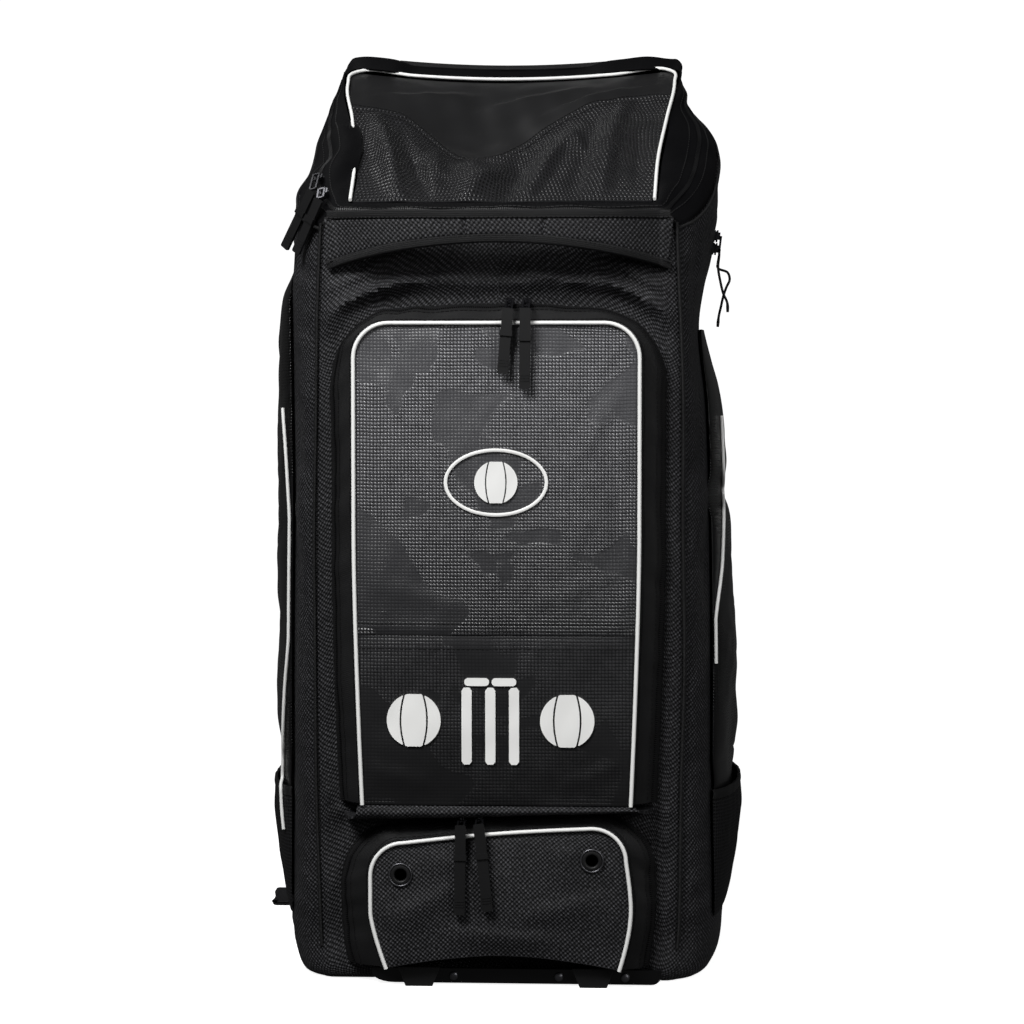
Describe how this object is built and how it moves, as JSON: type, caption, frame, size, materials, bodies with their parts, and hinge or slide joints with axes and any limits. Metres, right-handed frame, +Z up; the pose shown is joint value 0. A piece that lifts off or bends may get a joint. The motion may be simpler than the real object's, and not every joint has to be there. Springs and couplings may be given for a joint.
{
  "type": "cricket kit bag",
  "caption": "Tall soft-sided standing kit bag with a sloped lid, padded haul handle, zipped front and shoe pockets, side pockets and a moulded base tray.",
  "frame": {"origin": "on the floor, below the middle of the bag's box", "axes": "+Z up along the bag, +X to the bag's right side as seen from the front, -Y out of the front"},
  "size_m": [0.4518, 0.4026, 0.8573],
  "materials": {
    "woven_polyester": "black tweed-weave polyester",
    "binding_tape": "smooth matt black tape and lining cloth",
    "embossed_vinyl": "semi-gloss black coated cloth with a fine embossed cell pattern",
    "satin_vinyl": "plain satin black coated cloth",
    "mesh_fabric": "black stretch mesh",
    "moulded_plastic": "glossy black moulded plastic",
    "white_trim": "white soft plastic piping and raised prints",
    "black_rubber": "soft black rubber",
    "dark_metal": "black lacquered zinc",
    "bright_metal": "bright nickel plate"
  },
  "bodies": {
    "root": {"body_shell": "woven_polyester", "haul_handle": "woven_polyester", "grab_loop": "woven_polyester", "shoe_pocket_face": "woven_polyester", "shoulder_strap_left": "woven_polyester", "shoulder_strap_right": "woven_polyester", "strap_webbing_left": "woven_polyester", "strap_webbing_right": "woven_polyester", "webbing_tab": "woven_polyester", "top_gusset": "binding_tape", "handle_binding_upper": "binding_tape", "handle_binding_lower": "binding_tape", "corner_piping_left": "binding_tape", "corner_piping_right": "binding_tape", "front_pocket_gusset": "binding_tape", "shoe_pocket_gusset": "binding_tape", "bottle_binding_left": "binding_tape", "bottle_binding_right": "binding_tape", "lid_lower": "embossed_vinyl", "lid_upper": "satin_vinyl", "front_face_lower": "embossed_vinyl", "front_face_upper": "embossed_vinyl", "side_pocket_left": "embossed_vinyl", "side_pocket_right": "embossed_vinyl", "bottle_pocket_left": "mesh_fabric", "bottle_pocket_right": "mesh_fabric", "base_tray": "moulded_plastic", "lid_piping": "white_trim", "front_piping": "white_trim", "shoe_piping": "white_trim", "side_piping_left": "white_trim", "side_piping_right": "white_trim", "motif_stumps": "white_trim", "motif_ball_left": "white_trim", "motif_ball_right": "white_trim", "badge_rim": "white_trim", "foot_left": "black_rubber", "foot_right": "black_rubber", "front_pull_left": "black_rubber", "front_pull_right": "black_rubber", "shoe_pull_left": "black_rubber", "shoe_pull_right": "black_rubber", "top_pull_upper": "black_rubber", "top_pull_lower": "black_rubber", "cord_pull_upper": "black_rubber", "cord_pull_lower": "black_rubber", "front_slider_left": "dark_metal", "front_slider_right": "dark_metal", "shoe_slider_left": "dark_metal", "shoe_slider_right": "dark_metal", "top_slider_upper": "dark_metal", "top_slider_lower": "dark_metal", "side_slider_upper": "dark_metal", "side_slider_lower": "dark_metal", "vent_eyelet_left": "bright_metal", "vent_eyelet_right": "bright_metal", "rivet_left": "bright_metal", "rivet_middle": "bright_metal", "rivet_right": "bright_metal"}
  },
  "joints": []
}
